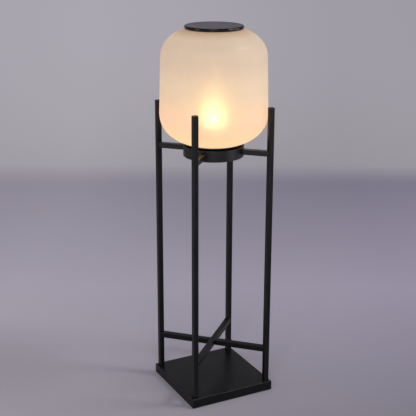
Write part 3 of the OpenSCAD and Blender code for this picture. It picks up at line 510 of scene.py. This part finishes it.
SWEEP_FRONT, SWEEP_BACK, SWEEP_WIDE, SWEEP_HIGH = 4.5, 3.2, 9.0, 4.5
SWEEP_BEND, SWEEP_FACETS = 1.2, 24
YAW = radians(-27.30)
bpy.ops.object.select_all(action="DESELECT")
bpy.ops.mesh.primitive_plane_add(size=1, location=(0, 0, 0))
floor = bpy.context.object
floor.name = "seamless_sweep"
bpy.ops.object.mode_set(mode="EDIT")
bpy.ops.transform.resize(value=(SWEEP_WIDE, SWEEP_FRONT + SWEEP_BACK, 1))
bpy.ops.transform.translate(value=(0, (SWEEP_BACK - SWEEP_FRONT) / 2, 0))
bpy.ops.object.mode_set(mode="OBJECT")
for vertex in floor.data.vertices:
    vertex.select = vertex.co.y > 0
for edge in floor.data.edges:
    edge.select = all(floor.data.vertices[v].select for v in edge.vertices)
for face in floor.data.polygons:
    face.select = False
bpy.ops.object.mode_set(mode="EDIT")
bpy.ops.mesh.extrude_region_move(TRANSFORM_OT_translate={"value": (0, 0, SWEEP_HIGH)})
bpy.ops.object.mode_set(mode="OBJECT")
bend = floor.modifiers.new("bend", "BEVEL")
bend.width = SWEEP_BEND
bend.segments = SWEEP_FACETS
bend.limit_method = "ANGLE"
bpy.context.view_layer.objects.active = floor
bpy.ops.object.modifier_apply(modifier="bend")
bpy.ops.object.shade_smooth()
floor.matrix_world = Matrix.Rotation(YAW, 4, "Z")
bpy.ops.object.select_all(action="DESELECT")
floor.select_set(True)
bpy.ops.object.transform_apply(location=True, rotation=True, scale=True)

# The paper is paler up the wall than on the floor. Painted shade darkens the floor towards a
# band in front of the base and greys the wall high up, and painted light makes the left paler.
# Distances run back from the lamp and across, square to each other.
PAINTED_SHADE_FLOOR = (0.152, 0.142, 0.176, 1)
TONE_FLOOR = (0.348, 0.322, 0.418, 1)
TONE_WALL = (0.490, 0.476, 0.520, 1)
PAINTED_SHADE_HIGH = (0.300, 0.297, 0.310, 1)
PAINTED_LIGHT_LEFT = (1.0, 0.95, 1.0, 1)
PAINTED_LIGHT_SHARE = 0.24
LEFT_TO_RIGHT = (-0.7, 0.7)
SHADE_FADES_BEHIND, SHADE_FADES_BEFORE = (-0.4, 0.7), (-0.5, -1.2)
WALL_STARTS, HIGH_STARTS = (0.002, 0.03), (0.9, 1.5)
paper, n, shader = finish("backdrop_paper", Roughness=0.9, Specular_IOR_Level=0.2)


def distance_along(direction):
    """How far a point of the paper lies from the lamp along a level direction."""
    node = n.add("ShaderNodeVectorMath", {0: n.object_point(), 1: direction}, operation="DOT_PRODUCT")
    return node.outputs["Value"]


depth = distance_along((-sin(YAW), cos(YAW), 0))
across = distance_along((cos(YAW), sin(YAW), 0))
# Painted shade on the floor, darkest in a band in front of the base
out_of_painted_shade = n.math("MAXIMUM", n.ranged(depth, *SHADE_FADES_BEHIND), n.ranged(depth, *SHADE_FADES_BEFORE))
swept = n.mix(out_of_painted_shade, PAINTED_SHADE_FLOOR, TONE_FLOOR)
swept = n.mix(n.ranged(n.height(), *WALL_STARTS), swept, TONE_WALL)
# Painted shade greys the wall high up
swept = n.mix(n.ranged(n.height(), *HIGH_STARTS), swept, PAINTED_SHADE_HIGH)
# Painted light makes the left of the paper paler
paler = n.mix(PAINTED_LIGHT_SHARE, swept, PAINTED_LIGHT_LEFT)
n.put(n.mix(n.ranged(across, *LEFT_TO_RIGHT), paler, swept), shader.inputs["Base Color"])
floor.data.materials.append(paper)

ROOM_TINT, ROOM_LEVEL = (0.80, 0.79, 0.83, 1), 0.44
scene = bpy.context.scene
scene.view_settings.view_transform = "Standard"
world = scene.world or bpy.data.worlds.new("studio")
scene.world = world
world.use_nodes = True
backing = world.node_tree.nodes["Background"]
backing.inputs["Color"].default_value = ROOM_TINT
backing.inputs["Strength"].default_value = ROOM_LEVEL

LAMP_AIM = Vector((0, 0, 0.52))


def soft_lamp(name, place, wide, high, watts, colour):
    """A rectangular soft lamp that faces the object."""
    lamp = bpy.data.lights.new(name, "AREA")
    lamp.shape = "RECTANGLE"
    lamp.size, lamp.size_y = wide, high
    lamp.energy = watts
    lamp.color = colour
    holder = bpy.data.objects.new(name, lamp)
    scene.collection.objects.link(holder)
    holder.location = place
    holder.rotation_euler = (LAMP_AIM - Vector(place)).to_track_quat("-Z", "Y").to_euler()


soft_lamp("lamp_right", (2.3, -1.6, 1.0), 2.8, 1.8, 36, (1.0, 0.98, 0.96))
soft_lamp("lamp_left", (-2.6, 0.2, 0.95), 0.8, 1.4, 10, (0.97, 0.98, 1.0))
soft_lamp("lamp_above", (1.25, -0.88, 2.5), 0.5, 0.5, 18, (1.0, 1.0, 1.0))
soft_lamp("lamp_front", (-1.9, -3.2, 2.4), 2.0, 1.2, 84, (1.0, 0.99, 0.98))

# The lamp is seen from the front left, from a little above its lid
EYE = Vector((-1.18775, -2.2694, 1.35175))
PITCH, ROLL = radians(17.79), radians(0.177)
FOCAL_PX, FRAME_PX = 974.75, 416
ahead = Vector((-sin(YAW) * cos(PITCH), cos(YAW) * cos(PITCH), -sin(PITCH)))
right = Vector((cos(YAW), sin(YAW), 0))
up = right.cross(ahead)
side = cos(ROLL) * right + sin(ROLL) * up
top = cos(ROLL) * up - sin(ROLL) * right
lens = bpy.data.cameras.new("camera")
lens.sensor_width = 36
lens.lens = FOCAL_PX / FRAME_PX * lens.sensor_width
camera = bpy.data.objects.new("camera", lens)
scene.collection.objects.link(camera)
camera.matrix_world = Matrix.Translation(EYE) @ Matrix((side, top, -ahead)).transposed().to_4x4()
scene.camera = camera
